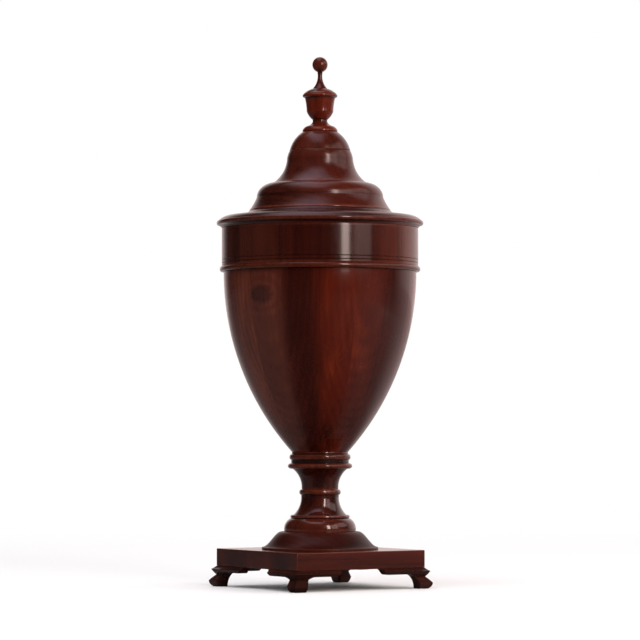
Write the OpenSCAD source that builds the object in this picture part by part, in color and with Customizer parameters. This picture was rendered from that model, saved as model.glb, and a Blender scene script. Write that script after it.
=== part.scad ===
// Knife urn: a turned and coopered wooden vase for table knives, on a square plinth with
// bracket feet. The whole lid rises on a square stem that slides in a boxed guide, so the
// two decks of knife slots inside the bowl can be reached from every side.
// Millimetres, +Z up. The origin is on the floor under the middle of the plinth.

/* [Plinth and feet] */
// Width of the square plinth board
plinth_w = 176; // [150:1:220]
// Thickness of the plinth board
plinth_h = 20.5; // [14:0.5:30]
// Height of the bracket feet
foot_h = 24; // [18:0.5:36]
// Length of each bracket board along the plinth, from the corner
foot_reach = 62; // [48:1:70]
// Thickness of the bracket boards behind the plinth's face
foot_t = 9; // [7:0.5:16]
// Width of each leg at the floor
foot_leg = 10; // [8:0.5:18]
// Length of the hollow curve between the leg and the step
foot_cove = 13; // [6:0.5:18]
// Depth of the moulded step under the plinth
foot_step = 7; // [5:0.5:10]
// Length of the shaped end of the step
foot_end = 9; // [5:0.5:14]
// How far the pointed ledge stands out from the plinth's face
foot_lip = 4.5; // [2:0.25:7]
// How far the waist of the foot stands out
foot_waist = 0; // [-1:0.1:2]
// How far the rounded toe stands out
foot_toe = 6.5; // [3:0.25:10]
// Height of the fullest part of the toe
foot_toe_h = 7; // [4:0.25:9]
// How far the sole stands out
foot_sole = 2.5; // [1:0.25:3]
// Width of the glue block behind each foot
block_w = 15; // [8:0.5:24]
// Gap between a glue block and the floor
block_lift = 17; // [4:0.5:17]

/* [Turned foot] */
// Radius of the socle where it meets the plinth
socle_r = 68; // [58:0.5:74]
// Radius of the socle's top
socle_top_r = 44.5; // [43:0.5:52]
// Height of the socle
socle_h = 20.7; // [14:0.1:30]
// Height of the socle's upright edge
socle_edge = 2.4; // [0.5:0.1:4]
// Largest radius of the torus above the socle
torus_r = 42; // [37:0.5:43]
// Radius of the torus's round section
torus_round = 14; // [11:0.5:18]
// Height of the torus
torus_h = 15.3; // [13:0.1:17]
// Height of the ring between the torus and the spool
ring_h = 4; // [2:0.25:7]
// Radius of the ring between the torus and the spool
ring_r = 34.6; // [32:0.1:37]
// Radius of the lower spool where it flares to the ring
flare_r = 31; // [26:0.5:33]
// Waist radius of the lower spool
spool_r = 22; // [20:0.25:25]
// Height of the lower spool
spool_h = 23.3; // [16:0.1:40]
// Height of the plain part of each spool beside the knop
spool_flat = 2.5; // [1:0.25:6]
// Radius of the knop between the spools
knop_r = 24.2; // [23:0.1:30]
// Height of the knop
knop_h = 6.4; // [3:0.1:10]
// Radius of the tenon through the socle and the plinth
foot_tenon_r = 13; // [9:0.5:16]
// Radius of the tenons in the upper spool and in the bowl
tenon_r = 10; // [7:0.5:12]
// Length of the tenons in the upper spool and in the bowl
tenon_l = 13; // [8:0.5:15]

/* [Turned neck] */
// Waist radius of the upper spool
neck_r = 21.4; // [19:0.1:25]
// Radius of the upper spool under the collar
neck_flare_r = 32; // [27:0.5:33]
// Height of the upper spool
neck_h = 24; // [17:0.25:40]
// Radius of the lower collar ring
collar_low_r = 37.6; // [34:0.1:44]
// Radius of the upper collar ring
collar_high_r = 35.7; // [34:0.1:44]
// Radius of the groove between the collar rings
groove_r = 33.6; // [30:0.1:34]
// Height of each collar ring
collar_h = 6.6; // [4:0.1:9]
// Height of the groove between the collar rings
groove_h = 3.8; // [2:0.1:8]
// Height of the plain neck under the bowl
neck_top_h = 2.8; // [1.5:0.1:8]

/* [Bowl] */
// Outer radius of the bowl at its rim
bowl_r = 112.8; // [102:0.2:126]
// Outer radius of the bowl at its foot
bowl_foot_r = 33; // [31:0.2:36]
// Height of the bowl
bowl_h = 210; // [190:1:240]
// Thickness of the bowl's staves
bowl_t = 9; // [7:0.25:12]
// Number of staves
stave_n = 16; // [12:1:20]
// Height of the plug that closes the bottom of the bowl
plug_h = 18; // [15:0.5:26]
// Thickness of the locating lip inside the rim
lip_t = 5; // [3.5:0.25:8]
// How deep the lip is let into the staves
lip_set = 2.5; // [1:0.25:4]
// How far the lip reaches down inside the rim
lip_seat = 8; // [5:0.5:14]
// How far the lip stands above the rim
lip_h = 8; // [4:0.5:14]

/* [Knife decks] */
// Depth of the outer deck's top below the rim
outer_drop = 38; // [28:0.5:48]
// Depth of the inner deck's top below the rim
inner_drop = 8; // [4:0.5:14]
// Thickness of the decks
deck_t = 7; // [5:0.5:10]
// Outer radius of the hoop that carries the inner deck
riser_r = 64; // [58:0.5:68]
// Thickness of that hoop
riser_t = 6; // [3:0.5:7]
// Overhang of the inner deck's rounded nosing
deck_nose = 2; // [0.5:0.25:4]
// Number of slots in the outer deck
outer_slots = 12; // [8:1:16]
// Number of slots in the inner deck
inner_slots = 8; // [4:1:10]
// Width of the slots
slot_w = 7; // [5:0.25:9]
// Length of the slots
slot_l = 26; // [18:0.5:27]
// Height of the ledge ring under the outer deck
ledge_h = 9; // [5:0.5:14]
// Width of the ledge ring
ledge_w = 5; // [3:0.25:6]

/* [Stem and guide] */
// Width of the square stem
stem_w = 22; // [16:0.5:24]
// Thickness of the guide's boards
guide_t = 7; // [6:0.25:9]
// Gap between the stem's end and the plug when the lid is shut
stem_gap = 2; // [1:0.25:5]
// Radius of the stem's tenon in the dome
stem_tenon_r = 7; // [5:0.25:9]
// Length of the stem's tenon in the dome
stem_tenon_l = 15; // [10:0.5:17]
// Diameter of the peg that stops the lid at its highest
peg_d = 5; // [3:0.25:6]
// Height of the peg above the stem's end
peg_up = 10; // [6:0.5:16]
// Solid wood left above the peg's slots in the guide
guide_head = 9; // [5:0.5:20]
// Radius of the brass plate round the stem
plate_r = 28; // [27:0.25:29]
// Thickness of the brass plate
plate_t = 2; // [1:0.25:4]
// Radius of the brass screws' shanks
screw_r = 1; // [0.7:0.1:1.3]
// Radius of the brass screws' heads
screw_head_r = 2.1; // [1.7:0.1:2.6]
// Height of the brass screws' heads
screw_head_h = 1; // [0.5:0.1:1.4]
// Length of the plate screws below the plate
plate_screw_l = 5; // [3:0.25:6]
// Length of the bow spring that holds the stem
spring_l = 30; // [24:0.5:40]
// Width of the bow spring
spring_w = 11; // [8:0.25:13]
// Thickness of the bow spring
spring_t = 0.8; // [0.4:0.05:1.2]
// Length of the spring's flat end under its screws
spring_tab = 7; // [6:0.25:10]
// Depth of the recess for the spring in the guide
recess_d = 3.2; // [2.6:0.1:4]

/* [Lid] */
// How far the band stands out from the bowl
band_proud = 2.2; // [0.5:0.1:5]
// Height of the lid's upright band
band_h = 51; // [38:0.5:70]
// Height of the bead at the foot of the band
bead_h = 6; // [4:0.25:12]
// How far the bead stands out from the band
bead_proud = 2.4; // [1.5:0.1:6]
// How deep the bead is let into the band
bead_set = 3; // [1.5:0.25:5]
// Spacing of the lines turned in the band
line_gap = 4; // [2.5:0.25:8]
// Depth of the turned lines
line_d = 0.5; // [0.2:0.05:1]
// How far the brim stands out from the band
brim_proud = 6; // [3:0.25:12]
// Height of the hollow under the brim's edge
brim_under = 3.5; // [2:0.25:5]
// Height of the brim's rounded edge
brim_edge = 5; // [4:0.25:6]
// Height of the brim
brim_h = 21.5; // [18:0.5:30]
// Radius of the shoulder where it rises from the brim
shoulder_r = 82.5; // [80:0.5:90]
// Radius of the shoulder's upright part
shoulder_mid_r = 74; // [70:0.5:78]
// Height of the shoulder's sloping part
shoulder_low_h = 15; // [10:0.5:24]
// Height of the shoulder's rounded part
shoulder_top_h = 16.5; // [12:0.5:26]
// Radius of the dome's foot on the shoulder
dome_r = 55; // [52:0.5:60]
// Radius of the dome's upright part
dome_mid_r = 38.5; // [36:0.5:42]
// Height of the dome's flaring part
dome_low_h = 29.5; // [22:0.5:40]
// Height of the dome's upright part
dome_mid_h = 8.5; // [5:0.5:16]
// Height of the dome's rounded top
dome_top_h = 22; // [16:0.5:32]
// Thickness of the lid's walls
lid_t = 9; // [7:0.25:11]
// Height of the spigots that join the lid's turned pieces
spigot_h = 6; // [4:0.25:8]
// Thickness of those spigots
spigot_t = 6; // [4:0.25:7]

/* [Finial] */
// Radius of the finial's saucer
saucer_r = 20.6; // [18:0.1:26]
// Height of the saucer
saucer_h = 12; // [8:0.25:18]
// Radius of the waist above the saucer
waist_r = 8.6; // [7:0.1:11]
// Radius of the cup at its shoulder
cup_r = 15.6; // [13:0.1:17]
// Radius of the cup under its rim
cup_top_r = 17.8; // [16:0.1:19]
// Radius of the cup's rim
rim_r = 20.5; // [19.5:0.1:25]
// Height of the cup's rounded part
cup_low_h = 12; // [8:0.25:18]
// Height of the cup's upright part
cup_high_h = 16.4; // [9:0.1:22]
// Height of the cup's rim
rim_h = 4.4; // [3:0.1:9]
// Radius of the cover where it turns up to the ball
cover_r = 8.8; // [7:0.1:11]
// Height of the cover's slope
cover_h = 6; // [3:0.25:10]
// Radius of the neck under the ball
ball_neck_r = 3.1; // [2:0.1:4.5]
// Height of the neck's flare
ball_neck_h = 20; // [12:0.25:28]
// Radius of the ball
ball_r = 9; // [6:0.1:13]
// Radius of the finial's two spigots
finial_spigot_r = 5; // [3.5:0.1:6.5]
// Length of the finial's two spigots
finial_spigot_l = 10; // [6:0.25:12]

/* [Fits] */
// Clearance of a glued joint
fit = 0.1; // [0.02:0.01:0.2]
// Clearance of the stem in its guide, on each side
slide_fit = 0.3; // [0.15:0.05:0.6]
// Clearance between the lid's band and the lip
lid_fit = 0.6; // [0.3:0.05:1.2]
// Gap between the lid and the rim when it is shut
seat_gap = 0.3; // [0.1:0.05:0.6]

/* [Hidden] */
$fn = 96;
steps = 14;
mahogany = "#5b2416";
dark_wood = "#43190f";
pale_wood = "#a8703c";
brass = "#b8923f";

// Heights of the joints between the pieces, from the floor up
plinth_top = foot_h + plinth_h;
socle_top = plinth_top + socle_h;
torus_top = socle_top + torus_h;
spool_low = torus_top + ring_h;
knop_low = spool_low + spool_h;
neck_low = knop_low + knop_h;
collar_low = neck_low + neck_h;
groove_low = collar_low + collar_h;
collar_mid = groove_low + groove_h;
collar_top = collar_mid + collar_h;
bowl_low = collar_top + neck_top_h;
rim_z = bowl_low + bowl_h;
plug_top = bowl_low + plug_h;

// The bowl's side is one arc that stands upright at the rim
bowl_d = bowl_r - bowl_foot_r;
bowl_arc = (bowl_h * bowl_h + bowl_d * bowl_d) / (2 * bowl_d);
function bowl_out(z) = bowl_r - bowl_arc + sqrt(pow(bowl_arc, 2) - pow(rim_z - z, 2));
function bowl_in(z) = bowl_r - bowl_arc + sqrt(pow(bowl_arc - bowl_t, 2) - pow(rim_z - z, 2));

// Decks
outer_top = rim_z - outer_drop;
outer_low = outer_top - deck_t;
inner_top = rim_z - inner_drop;
inner_low = inner_top - deck_t;
ledge_low = outer_low - ledge_h;
ledge_in = bowl_in(ledge_low) - fit - ledge_w;
outer_slot_r = (riser_r + ledge_in) / 2;
inner_slot_r = (plate_r + riser_r - riser_t) / 2;

// Stem and guide
bore_w = stem_w + 2 * slide_fit;
guide_w = bore_w + 2 * guide_t;
stem_low = plug_top + stem_gap;
peg_z = stem_low + peg_up;
slot_end = inner_top - guide_head;
lid_travel = slot_end - peg_z - peg_d / 2 - slide_fit;
peg_l = guide_w - 2 * slide_fit;
spring_top = inner_top - guide_head + 4;
spring_low = spring_top - spring_l;
spring_x = bore_w / 2 + recess_d - fit;
spring_bow = spring_x - spring_t - stem_w / 2 - slide_fit / 2;

// Lid
lip_r = bowl_r - bowl_t + lip_set;
band_in = lip_r + lid_fit;
band_r = bowl_r + band_proud;
lid_low = rim_z + seat_gap;
bead_top = lid_low + bead_h;
band_top = lid_low + band_h;
brim_r = band_r + brim_proud;
brim_top = band_top + brim_h;
shoulder_mid = brim_top + shoulder_low_h;
shoulder_top = shoulder_mid + shoulder_top_h;
dome_mid = shoulder_top + dome_low_h;
dome_line = dome_mid + dome_mid_h;
dome_top = dome_line + dome_top_h;
boss_low = dome_mid;
brim_hole_r = shoulder_mid_r - lid_t + spigot_t;
dome_hole_r = dome_mid_r + spigot_t;

// Finial
waist_z = dome_top + saucer_h;
cup_mid = waist_z + cup_low_h;
cup_top = cup_mid + cup_high_h;
cover_low = cup_top + rim_h;
cover_top = cover_low + cover_h;
neck_top = cover_top + ball_neck_h;
ball_z = neck_top + sqrt(pow(ball_r, 2) - pow(ball_neck_r, 2));

// Feet: how far the widest part reaches out
foot_out = max(foot_toe, foot_lip, foot_waist) + 1;
corners = ["front_left", "front_right", "back_left", "back_right"];
guide_sides = ["front", "back", "left", "right"];

function two(i) = i < 10 ? str("0", i) : str(i);
foot_nodes = [for (c = corners) for (b = ["face", "return"]) str("foot_", c, "_", b)];
stave_nodes = [for (i = [1:stave_n]) str("bowl_stave_", two(i))];
guide_nodes = [for (s = guide_sides) str("guide_board_", s)];

// A curve from a to b that swells by s to the right of its direction
function bow(a, b, s) =
    let (d = b - a, side = [d[1], -d[0]] / norm(d))
    [for (i = [0:steps]) let (t = i / steps) a + d * t + side * (4 * s * t * (1 - t))];

// A half round that stands out from radius r between two heights
function bead(r, low, high, out) =
    [for (i = [0:steps]) let (a = -90 + 180 * i / steps)
        [r + out * cos(a), (low + high) / 2 + (high - low) / 2 * sin(a)]];

// A quarter of an ellipse round centre c
function quarter(c, rx, rz, from) =
    [for (i = [0:steps]) let (a = from + 90 * i / steps) c + [rx * cos(a), rz * sin(a)]];

// A hollow that is upright at a, its narrow end, and flares to b
function cove(a, b) =
    let (d = b - a, r = (d * d) / (2 * d[0]))
    [for (i = [0:steps]) let (z = d[1] * i / steps) a + [r - sqrt(r * r - z * z), z]];

function turn_back(list) = [for (i = [len(list) - 1:-1:0]) list[i]];

// An S-curve that is level at both ends
function ogee(a, b) =
    [for (i = [0:steps]) let (t = i / steps)
        [a[0] + (b[0] - a[0]) * t, a[1] + (b[1] - a[1]) * (1 - cos(180 * t)) / 2]];

module turned(outline) rotate_extrude() polygon(outline);

module ring(r_in, r_out, low, high)
    turned([[r_in, low], [r_out, low], [r_out, high], [r_in, high]]);

// Feet
// Side of a bracket board: out to the left of the plinth's face, with the board behind it
function foot_side() =
    let (lip_z = foot_h - foot_step / 2, waist_z = foot_h - foot_step - 3)
    concat(
        [[foot_t, 0], [foot_t, foot_h]],
        bow([0, foot_h], [-foot_lip, lip_z], -0.4),
        bow([-foot_lip, lip_z], [-foot_waist, waist_z], 0.4),
        bow([-foot_waist, waist_z], [-foot_toe, foot_toe_h], 0.2),
        bow([-foot_toe, foot_toe_h], [-foot_sole, 0], 1.1)
    );

// Front of a bracket board: leg at the corner, hollow curve, step and shaped end
function foot_front() =
    let (step_z = foot_h - foot_step)
    concat(
        [[-foot_out, 0]],
        [for (i = [0:steps]) let (a = 90 * i / steps)
            [foot_leg + foot_cove * (1 - cos(a)), step_z * sin(a)]],
        ogee([foot_reach - foot_end, step_z], [foot_reach, foot_h]),
        [[-foot_out, foot_h]]
    );

// A board along the front of the corner at the origin, mitred where it meets the other
module foot_board()
    intersection() {
        linear_extrude(foot_h)
            polygon([[-foot_out, -foot_out], [foot_reach, -foot_out], [foot_reach, foot_t],
                [foot_t, foot_t]]);
        translate([-foot_out, 0, 0])
            rotate([90, 0, 90])
                linear_extrude(foot_out + foot_reach) polygon(foot_side());
        translate([0, foot_t, 0])
            rotate([90, 0, 0])
                linear_extrude(foot_out + foot_t) polygon(foot_front());
    }

// Puts a piece made at the front left corner at corner i
module at_corner(i)
    mirror([i % 2, 0, 0])
        mirror([0, i < 2 ? 0 : 1, 0])
            translate([-plinth_w / 2, -plinth_w / 2, 0]) children();

module foot_face(i) color(mahogany) at_corner(i) foot_board();

module foot_return(i) color(mahogany) at_corner(i) mirror([1, -1, 0]) foot_board();

module foot_blocks()
    color(pale_wood)
        for (i = [0:3])
            at_corner(i)
                translate([foot_t, foot_t, block_lift])
                    cube([block_w, block_w, foot_h - block_lift]);

// Plinth and turned foot
module plinth()
    color(mahogany)
        difference() {
            translate([-plinth_w / 2, -plinth_w / 2, foot_h]) cube([plinth_w, plinth_w, plinth_h]);
            translate([0, 0, foot_h - 1]) cylinder(r = foot_tenon_r + fit, h = plinth_h + 2);
        }

module socle()
    color(mahogany)
        turned(concat(
            [[foot_tenon_r + fit, plinth_top], [socle_r, plinth_top]],
            ogee([socle_r, plinth_top + socle_edge], [socle_top_r, socle_top]),
            [[foot_tenon_r + fit, socle_top]]
        ));

module turned_foot()
    let (
        torus_mid = socle_top + torus_h * 0.2,
        torus_in = torus_r - torus_round,
        torus_end = torus_in + sqrt(pow(torus_round, 2) - pow(torus_top - torus_mid, 2)),
        torus_low = asin((socle_top - torus_mid) / torus_round),
        torus_high = asin((torus_top - torus_mid) / torus_round)
    )
    color(mahogany)
        turned(concat(
            [[0, foot_h + 1], [foot_tenon_r, foot_h + 1], [foot_tenon_r, socle_top]],
            [for (i = [0:steps]) let (a = torus_low + (torus_high - torus_low) * i / steps)
                [torus_in + torus_round * cos(a), torus_mid + torus_round * sin(a)]],
            bead(min(torus_end, ring_r) - 1.2, torus_top, spool_low, 1.2),
            turn_back(cove([spool_r, knop_low - spool_flat], [flare_r, spool_low])),
            bead(spool_r, knop_low, neck_low, knop_r - spool_r),
            [[tenon_r, neck_low], [tenon_r, neck_low + tenon_l], [0, neck_low + tenon_l]]
        ));

module turned_neck()
    color(mahogany)
        turned(concat(
            [[0, neck_low + tenon_l + 1], [tenon_r + fit, neck_low + tenon_l + 1]],
            [[tenon_r + fit, neck_low]],
            [[neck_r, neck_low]],
            cove([neck_r, neck_low + spool_flat], [neck_flare_r, collar_low]),
            bead(groove_r, collar_low, groove_low, collar_low_r - groove_r),
            bead(groove_r, collar_mid, collar_top, collar_high_r - groove_r),
            [[bowl_foot_r, collar_top], [bowl_foot_r, bowl_low]],
            [[tenon_r, bowl_low], [tenon_r, bowl_low + tenon_l], [0, bowl_low + tenon_l]]
        ));

// Bowl
module bowl_plug()
    color(pale_wood)
        turned([
            [tenon_r + fit, bowl_low],
            [bowl_in(bowl_low) - fit, bowl_low],
            [bowl_in(plug_top) - fit, plug_top],
            [0, plug_top],
            [0, bowl_low + tenon_l + 1],
            [tenon_r + fit, bowl_low + tenon_l + 1]
        ]);

module bowl_stave(i)
    let (
        n = 2 * steps,
        seat_z = rim_z - lip_seat,
        outer = [for (k = [0:n]) let (z = bowl_low + bowl_h * k / n) [bowl_out(z), z]],
        inner = [for (k = [0:n]) let (z = seat_z - (seat_z - bowl_low) * k / n) [bowl_in(z), z]]
    )
    color(i % 2 == 0 ? mahogany : dark_wood)
        rotate([0, 0, 360 / stave_n * (i - 0.5)])
            rotate_extrude(angle = 360 / stave_n)
                polygon(concat(outer, [[lip_r + fit, rim_z], [lip_r + fit, seat_z]], inner));

module bowl_lip()
    color(dark_wood)
        turned(concat(
            [[lip_r - lip_t, rim_z - lip_seat], [lip_r, rim_z - lip_seat]],
            quarter([lip_r - lip_t / 2, rim_z + lip_h - 2], lip_t / 2, 2, 0),
            quarter([lip_r - lip_t / 2, rim_z + lip_h - 2], lip_t / 2, 2, 90)
        ));

// Knife decks
module slots(count, r, low)
    for (i = [0:count - 1])
        rotate([0, 0, 360 / count * i])
            translate([r - slot_l / 2, -slot_w / 2, low - 1]) cube([slot_l, slot_w, deck_t + 2]);

module deck_ledge()
    color(pale_wood)
        turned([
            [ledge_in, ledge_low],
            [bowl_in(ledge_low) - fit, ledge_low],
            [bowl_in(outer_low) - fit, outer_low],
            [ledge_in, outer_low]
        ]);

module outer_deck()
    color(mahogany)
        difference() {
            turned([
                [riser_r - riser_t, outer_low],
                [bowl_in(outer_low) - fit, outer_low],
                [bowl_in(outer_top) - fit, outer_top],
                [riser_r - riser_t, outer_top]
            ]);
            slots(outer_slots, outer_slot_r, outer_low);
        }

module deck_riser() color(mahogany) ring(riser_r - riser_t, riser_r, outer_top, inner_low);

module inner_deck()
    color(mahogany)
        difference() {
            turned(concat(
                [[0, inner_low]],
                bead(riser_r, inner_low, inner_top, deck_nose),
                [[0, inner_top]]
            ));
            slots(inner_slots, inner_slot_r, inner_low);
            translate([-guide_w / 2 - fit, -guide_w / 2 - fit, inner_low - 1])
                cube([guide_w + 2 * fit, guide_w + 2 * fit, deck_t + 2]);
            plate_screw_holes();
        }

// Guide for the stem
// The front board is as wide as the guide, with a slot for the peg that is open at its foot
module wide_board()
    difference() {
        translate([-guide_w / 2, -guide_w / 2, plug_top])
            cube([guide_w, guide_t, inner_top - plug_top]);
        translate([-peg_d / 2 - slide_fit, -guide_w / 2 - 1, plug_top - 1])
            cube([peg_d + 2 * slide_fit, guide_t + 2, slot_end - plug_top + 1]);
    }

// The right-hand board fits between the wide ones
module narrow_board()
    translate([bore_w / 2, -bore_w / 2, plug_top]) cube([guide_t, bore_w, inner_top - plug_top]);

module guide_board_front() color(pale_wood) wide_board();

module guide_board_back() color(pale_wood) mirror([0, 1, 0]) wide_board();

module guide_board_left() color(pale_wood) mirror([1, 0, 0]) narrow_board();

module guide_board_right()
    color(pale_wood)
        difference() {
            narrow_board();
            translate([bore_w / 2 - 1, -spring_w / 2 - fit, spring_low - spring_tab - fit])
                cube([recess_d + 1, spring_w + 2 * fit, spring_l + spring_tab + 1 + fit]);
            spring_screw_places() cylinder(r = screw_r + fit / 2, h = guide_t - recess_d);
        }

// Local +Z runs into the board from the spring's seat
module spring_screw_places()
    for (y = [-spring_w / 4, spring_w / 4])
        translate([spring_x, y, spring_low - spring_tab / 2]) rotate([0, 90, 0]) children();

module hold_spring()
    color(brass)
        difference() {
            translate([0, spring_w / 2, 0])
                rotate([90, 0, 0])
                    linear_extrude(spring_w)
                        polygon(concat(
                            [[spring_x, spring_low - spring_tab]],
                            bow([spring_x, spring_low], [spring_x, spring_top], -spring_bow),
                            bow([spring_x - spring_t, spring_top],
                                [spring_x - spring_t, spring_low], spring_bow),
                            [[spring_x - spring_t, spring_low - spring_tab]]
                        ));
            spring_screw_places()
                translate([0, 0, -spring_t - 1]) cylinder(r = screw_r + fit / 2, h = spring_t + 2);
        }

module spring_screws()
    color(brass)
        spring_screw_places() {
            translate([0, 0, -spring_t]) cylinder(r = screw_r, h = spring_t + guide_t - recess_d - 0.5);
            translate([0, 0, -spring_t - screw_head_h]) cylinder(r = screw_head_r, h = screw_head_h);
        }

module plate_screw_places()
    for (i = [0:3])
        rotate([0, 0, 90 * i])
            translate([(guide_w / 2 + plate_r) / 2, 0, inner_top]) children();

module plate_screw_holes()
    plate_screw_places()
        translate([0, 0, -plate_screw_l - 0.3]) cylinder(r = screw_r + fit / 2, h = plate_screw_l + 1);

module guide_plate()
    color(brass)
        difference() {
            translate([0, 0, inner_top]) cylinder(r = plate_r, h = plate_t);
            translate([-bore_w / 2, -bore_w / 2, inner_top - 1]) cube([bore_w, bore_w, plate_t + 2]);
            plate_screw_places() translate([0, 0, -1]) cylinder(r = screw_r + fit / 2, h = plate_t + 2);
        }

module plate_screws()
    color(brass)
        plate_screw_places() {
            translate([0, 0, -plate_screw_l]) cylinder(r = screw_r, h = plate_screw_l + plate_t);
            translate([0, 0, plate_t]) cylinder(r = screw_head_r, h = screw_head_h);
        }

// Lid
module stem()
    color(mahogany)
        difference() {
            union() {
                translate([-stem_w / 2, -stem_w / 2, stem_low])
                    cube([stem_w, stem_w, boss_low - stem_low]);
                translate([0, 0, boss_low - 1]) cylinder(r = stem_tenon_r, h = stem_tenon_l + 1);
            }
            translate([0, stem_w, peg_z]) rotate([90, 0, 0]) cylinder(d = peg_d + fit, h = 2 * stem_w);
        }

module stop_peg()
    color(brass)
        translate([0, peg_l / 2, peg_z]) rotate([90, 0, 0]) cylinder(d = peg_d, h = peg_l);

// A sharp line turned round the band at height z
function line(z) = [[band_r, z - line_d], [band_r - line_d, z], [band_r, z + line_d]];

module lid_band()
    color(mahogany)
        turned(concat(
            [[band_in, lid_low], [band_r - bead_set - fit, lid_low], [band_r - bead_set - fit, bead_top]],
            [[band_r, bead_top]],
            line(bead_top + line_gap),
            line(bead_top + 2 * line_gap),
            [[band_r, band_top], [band_in, band_top]]
        ));

module lid_bead()
    color(dark_wood)
        turned(concat(
            [[band_r - bead_set, lid_low]],
            bead(band_r, lid_low, bead_top, bead_proud),
            [[band_r - bead_set, bead_top]]
        ));

module lid_brim()
    let (
        edge_low = band_top + brim_under,
        edge_top = edge_low + brim_edge,
        edge_r = brim_r - brim_edge * 0.35,
        slope_r = edge_r - 9.5,
        slope_z = edge_top + 5.5,
        hole_r = brim_hole_r + fit
    )
    color(mahogany)
        turned(concat(
            [[band_in - fit - spigot_t, band_top - spigot_h], [band_in - fit, band_top - spigot_h]],
            [[band_in - fit, band_top]],
            bow([band_r, band_top], [edge_r, edge_low], -0.6),
            bead(edge_r, edge_low, edge_top, brim_r - edge_r),
            bow([edge_r, edge_top], [slope_r, slope_z], 0.8),
            [for (i = [0:steps]) let (a = 90 * i / steps)
                [slope_r - (slope_r - shoulder_r) * sin(a), brim_top - (brim_top - slope_z) * cos(a)]],
            [[hole_r, brim_top], [hole_r, brim_top - spigot_h - 3]],
            [[band_in - fit - spigot_t, band_top]]
        ));

module lid_shoulder()
    let (hole_r = dome_hole_r + fit, wall_r = brim_hole_r - spigot_t)
    color(mahogany)
        turned(concat(
            [[wall_r, brim_top - spigot_h], [brim_hole_r, brim_top - spigot_h], [brim_hole_r, brim_top]],
            bow([shoulder_r, brim_top], [shoulder_mid_r, shoulder_mid], -0.7),
            quarter([dome_r - 1, shoulder_mid], shoulder_mid_r - dome_r + 1, shoulder_top_h, 0),
            [[hole_r, shoulder_top], [hole_r, shoulder_top - spigot_h - 2]],
            bow([hole_r, shoulder_top - spigot_h - 2], [wall_r, shoulder_mid], -1)
        ));

module lid_dome()
    color(mahogany)
        difference() {
            turned(concat(
                [[0, boss_low], [stem_w * 0.75, boss_low]],
                bow([stem_w * 0.75, boss_low], [dome_hole_r - spigot_t, shoulder_top - spigot_h], -2),
                [[dome_hole_r, shoulder_top - spigot_h], [dome_hole_r, shoulder_top]],
                bow([dome_r, shoulder_top], [dome_mid_r, dome_mid], -4),
                bow([dome_mid_r, dome_mid], [dome_mid_r - 2.6, dome_line - 0.6], 0.3),
                [[dome_mid_r - 3.6, dome_line]],
                bow([dome_mid_r - 3, dome_line + 0.6], [saucer_r, dome_top], 2.4),
                [[0, dome_top]]
            ));
            translate([0, 0, boss_low - 1]) cylinder(r = stem_tenon_r + fit, h = stem_tenon_l + 1.5);
            translate([0, 0, dome_top - finial_spigot_l - 0.5])
                cylinder(r = finial_spigot_r + fit, h = finial_spigot_l + 1);
        }

// Finial
module finial_cup()
    let (swell = [(saucer_r + waist_r) / 2, dome_top + saucer_h * 0.6])
    color(mahogany)
        turned(concat(
            [[0, dome_top - finial_spigot_l], [finial_spigot_r, dome_top - finial_spigot_l]],
            [[finial_spigot_r, dome_top], [saucer_r - 0.8, dome_top], [saucer_r, dome_top + 0.8]],
            bow([saucer_r, dome_top + 2], swell, 0.9),
            bow(swell, [waist_r, waist_z], -0.8),
            bow([waist_r, waist_z + 2.4], [cup_r, cup_mid], 0.8),
            bow([cup_r, cup_mid], [cup_top_r, cup_top], -0.4),
            bead(cup_top_r, cup_top, cover_low, rim_r - cup_top_r),
            [[finial_spigot_r + fit, cover_low]],
            [[finial_spigot_r + fit, cover_low - finial_spigot_l - 0.5]],
            [[0, cover_low - finial_spigot_l - 0.5]]
        ));

module finial()
    let (ball_low = acos(-sqrt(pow(ball_r, 2) - pow(ball_neck_r, 2)) / ball_r))
    color(mahogany)
        turned(concat(
            [[0, cover_low - finial_spigot_l], [finial_spigot_r, cover_low - finial_spigot_l]],
            [[finial_spigot_r, cover_low]],
            bow([rim_r - 1.2, cover_low], [cover_r, cover_top], 0.9),
            bow([cover_r, cover_top], [ball_neck_r, neck_top], -2.6),
            [for (i = [0:2 * steps]) let (a = ball_low * (1 - i / (2 * steps)))
                [ball_r * sin(a), ball_z + ball_r * cos(a)]]
        ));

for (i = [0:3]) {
    foot_face(i);
    foot_return(i);
}
foot_blocks();
plinth();
socle();
turned_foot();
turned_neck();
bowl_plug();
for (i = [0:stave_n - 1]) bowl_stave(i);
bowl_lip();
deck_ledge();
outer_deck();
deck_riser();
inner_deck();
guide_board_front();
guide_board_back();
guide_board_left();
guide_board_right();
hold_spring();
spring_screws();
guide_plate();
plate_screws();
stem();
stop_peg();
lid_band();
lid_bead();
lid_brim();
lid_shoulder();
lid_dome();
finial_cup();
finial();
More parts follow.
